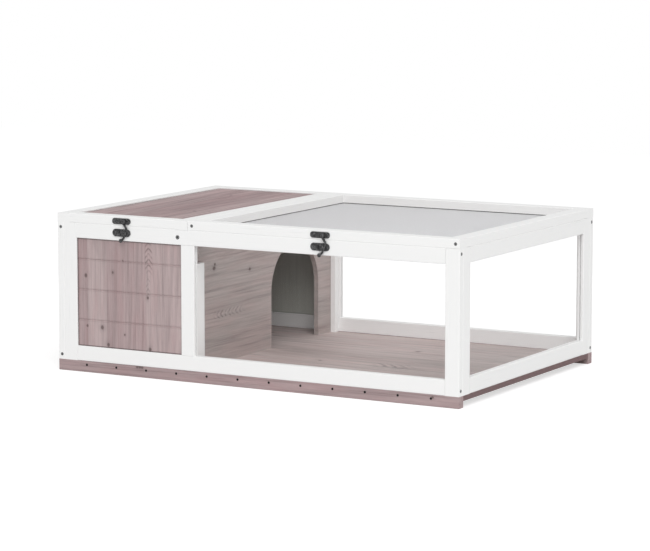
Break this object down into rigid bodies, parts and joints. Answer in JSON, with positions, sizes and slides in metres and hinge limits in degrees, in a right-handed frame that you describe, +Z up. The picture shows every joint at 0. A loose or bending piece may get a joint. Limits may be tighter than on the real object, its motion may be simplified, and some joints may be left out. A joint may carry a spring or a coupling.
{
  "type": "tortoise house",
  "caption": "Low timber tortoise house on two skids: a closed sleeping room under a hinged roof, and a windowed run under a hinged wire lid, each lid with a hook latch.",
  "frame": {"origin": "centre of the footprint at ground level, under the middle of the house", "axes": "+X along the front from the sleeping room to the run; +Y from the front to the back; +Z up"},
  "size_m": [0.9, 0.6146, 0.318],
  "materials": {
    "white_wood": "white paint",
    "stained_wood": "grey-mauve stain",
    "clear_sheet": "clear, polished",
    "black_fasteners": "black, dull",
    "black_latches": "black, satin",
    "black_hinges": "black, satin",
    "galvanised_wire": "galvanised"
  },
  "bodies": {
    "house": {"back_bottom_rail": "white_wood", "back_left_stile": "white_wood", "back_mid_stile": "white_wood", "back_panel": "stained_wood", "back_right_stile": "white_wood", "back_top_rail": "white_wood", "back_window": "clear_sheet", "floor_panel": "stained_wood", "frame_screws": "black_fasteners", "front_bottom_rail": "white_wood", "front_left_stile": "white_wood", "front_mid_stile": "white_wood", "front_panel": "stained_wood", "front_right_stile": "white_wood", "front_skid": "stained_wood", "front_top_rail": "white_wood", "front_window": "clear_sheet", "hinge_frame_leaves": "black_hinges", "hinge_pins": "black_hinges", "left_bottom_rail": "white_wood", "left_front_stile": "white_wood", "left_panel": "stained_wood", "left_rear_stile": "white_wood", "left_top_rail": "white_wood", "lid_beam": "white_wood", "partition": "stained_wood", "partition_front_batten": "white_wood", "partition_rear_batten": "white_wood", "rear_skid": "stained_wood", "right_bottom_rail": "white_wood", "right_front_stile": "white_wood", "right_rear_stile": "white_wood", "right_top_rail": "white_wood", "right_window": "clear_sheet", "run_hook_rivet": "black_latches", "run_latch_plate": "black_latches", "skid_nails": "black_fasteners", "sleeping_hook_rivet": "black_latches", "sleeping_latch_plate": "black_latches"},
    "sleeping_lid": {"sleeping_lid_left_bar": "white_wood", "sleeping_lid_right_bar": "white_wood", "sleeping_lid_front_bar": "white_wood", "sleeping_lid_rear_bar": "white_wood", "roof_panel": "stained_wood", "sleeping_lid_screws": "black_fasteners", "sleeping_keeper": "black_latches", "sleeping_hinge_lid_leaves": "black_hinges"},
    "run_lid": {"run_lid_front_bar": "white_wood", "run_lid_rear_bar": "white_wood", "run_lid_left_bar": "white_wood", "run_lid_right_bar": "white_wood", "wire_net": "galvanised_wire", "run_lid_screws": "black_fasteners", "run_keeper": "black_latches", "run_hinge_lid_leaves": "black_hinges"},
    "sleeping_hook_body": {"sleeping_hook": "black_latches"},
    "run_hook_body": {"run_hook": "black_latches"}
  },
  "joints": [
    {"name": "sleeping_lid_hinge", "type": "hinge", "parent": "house", "child": "sleeping_lid", "pos_m": [-0.29675, 0.3038, 0.3], "axis": [-1, 0, 0], "range_deg": [0, 190]},
    {"name": "run_lid_hinge", "type": "hinge", "parent": "house", "child": "run_lid", "pos_m": [0.15355, 0.3038, 0.3], "axis": [-1, 0, 0], "range_deg": [0, 190]},
    {"name": "sleeping_hook_pivot", "type": "hinge", "parent": "house", "child": "sleeping_hook_body", "pos_m": [-0.29055, -0.3019, 0.286], "axis": [0, -1, 0], "range_deg": [0, 100]},
    {"name": "run_hook_pivot", "type": "hinge", "parent": "house", "child": "run_hook_body", "pos_m": [0.15975, -0.3019, 0.286], "axis": [0, -1, 0], "range_deg": [0, 100]}
  ]
}
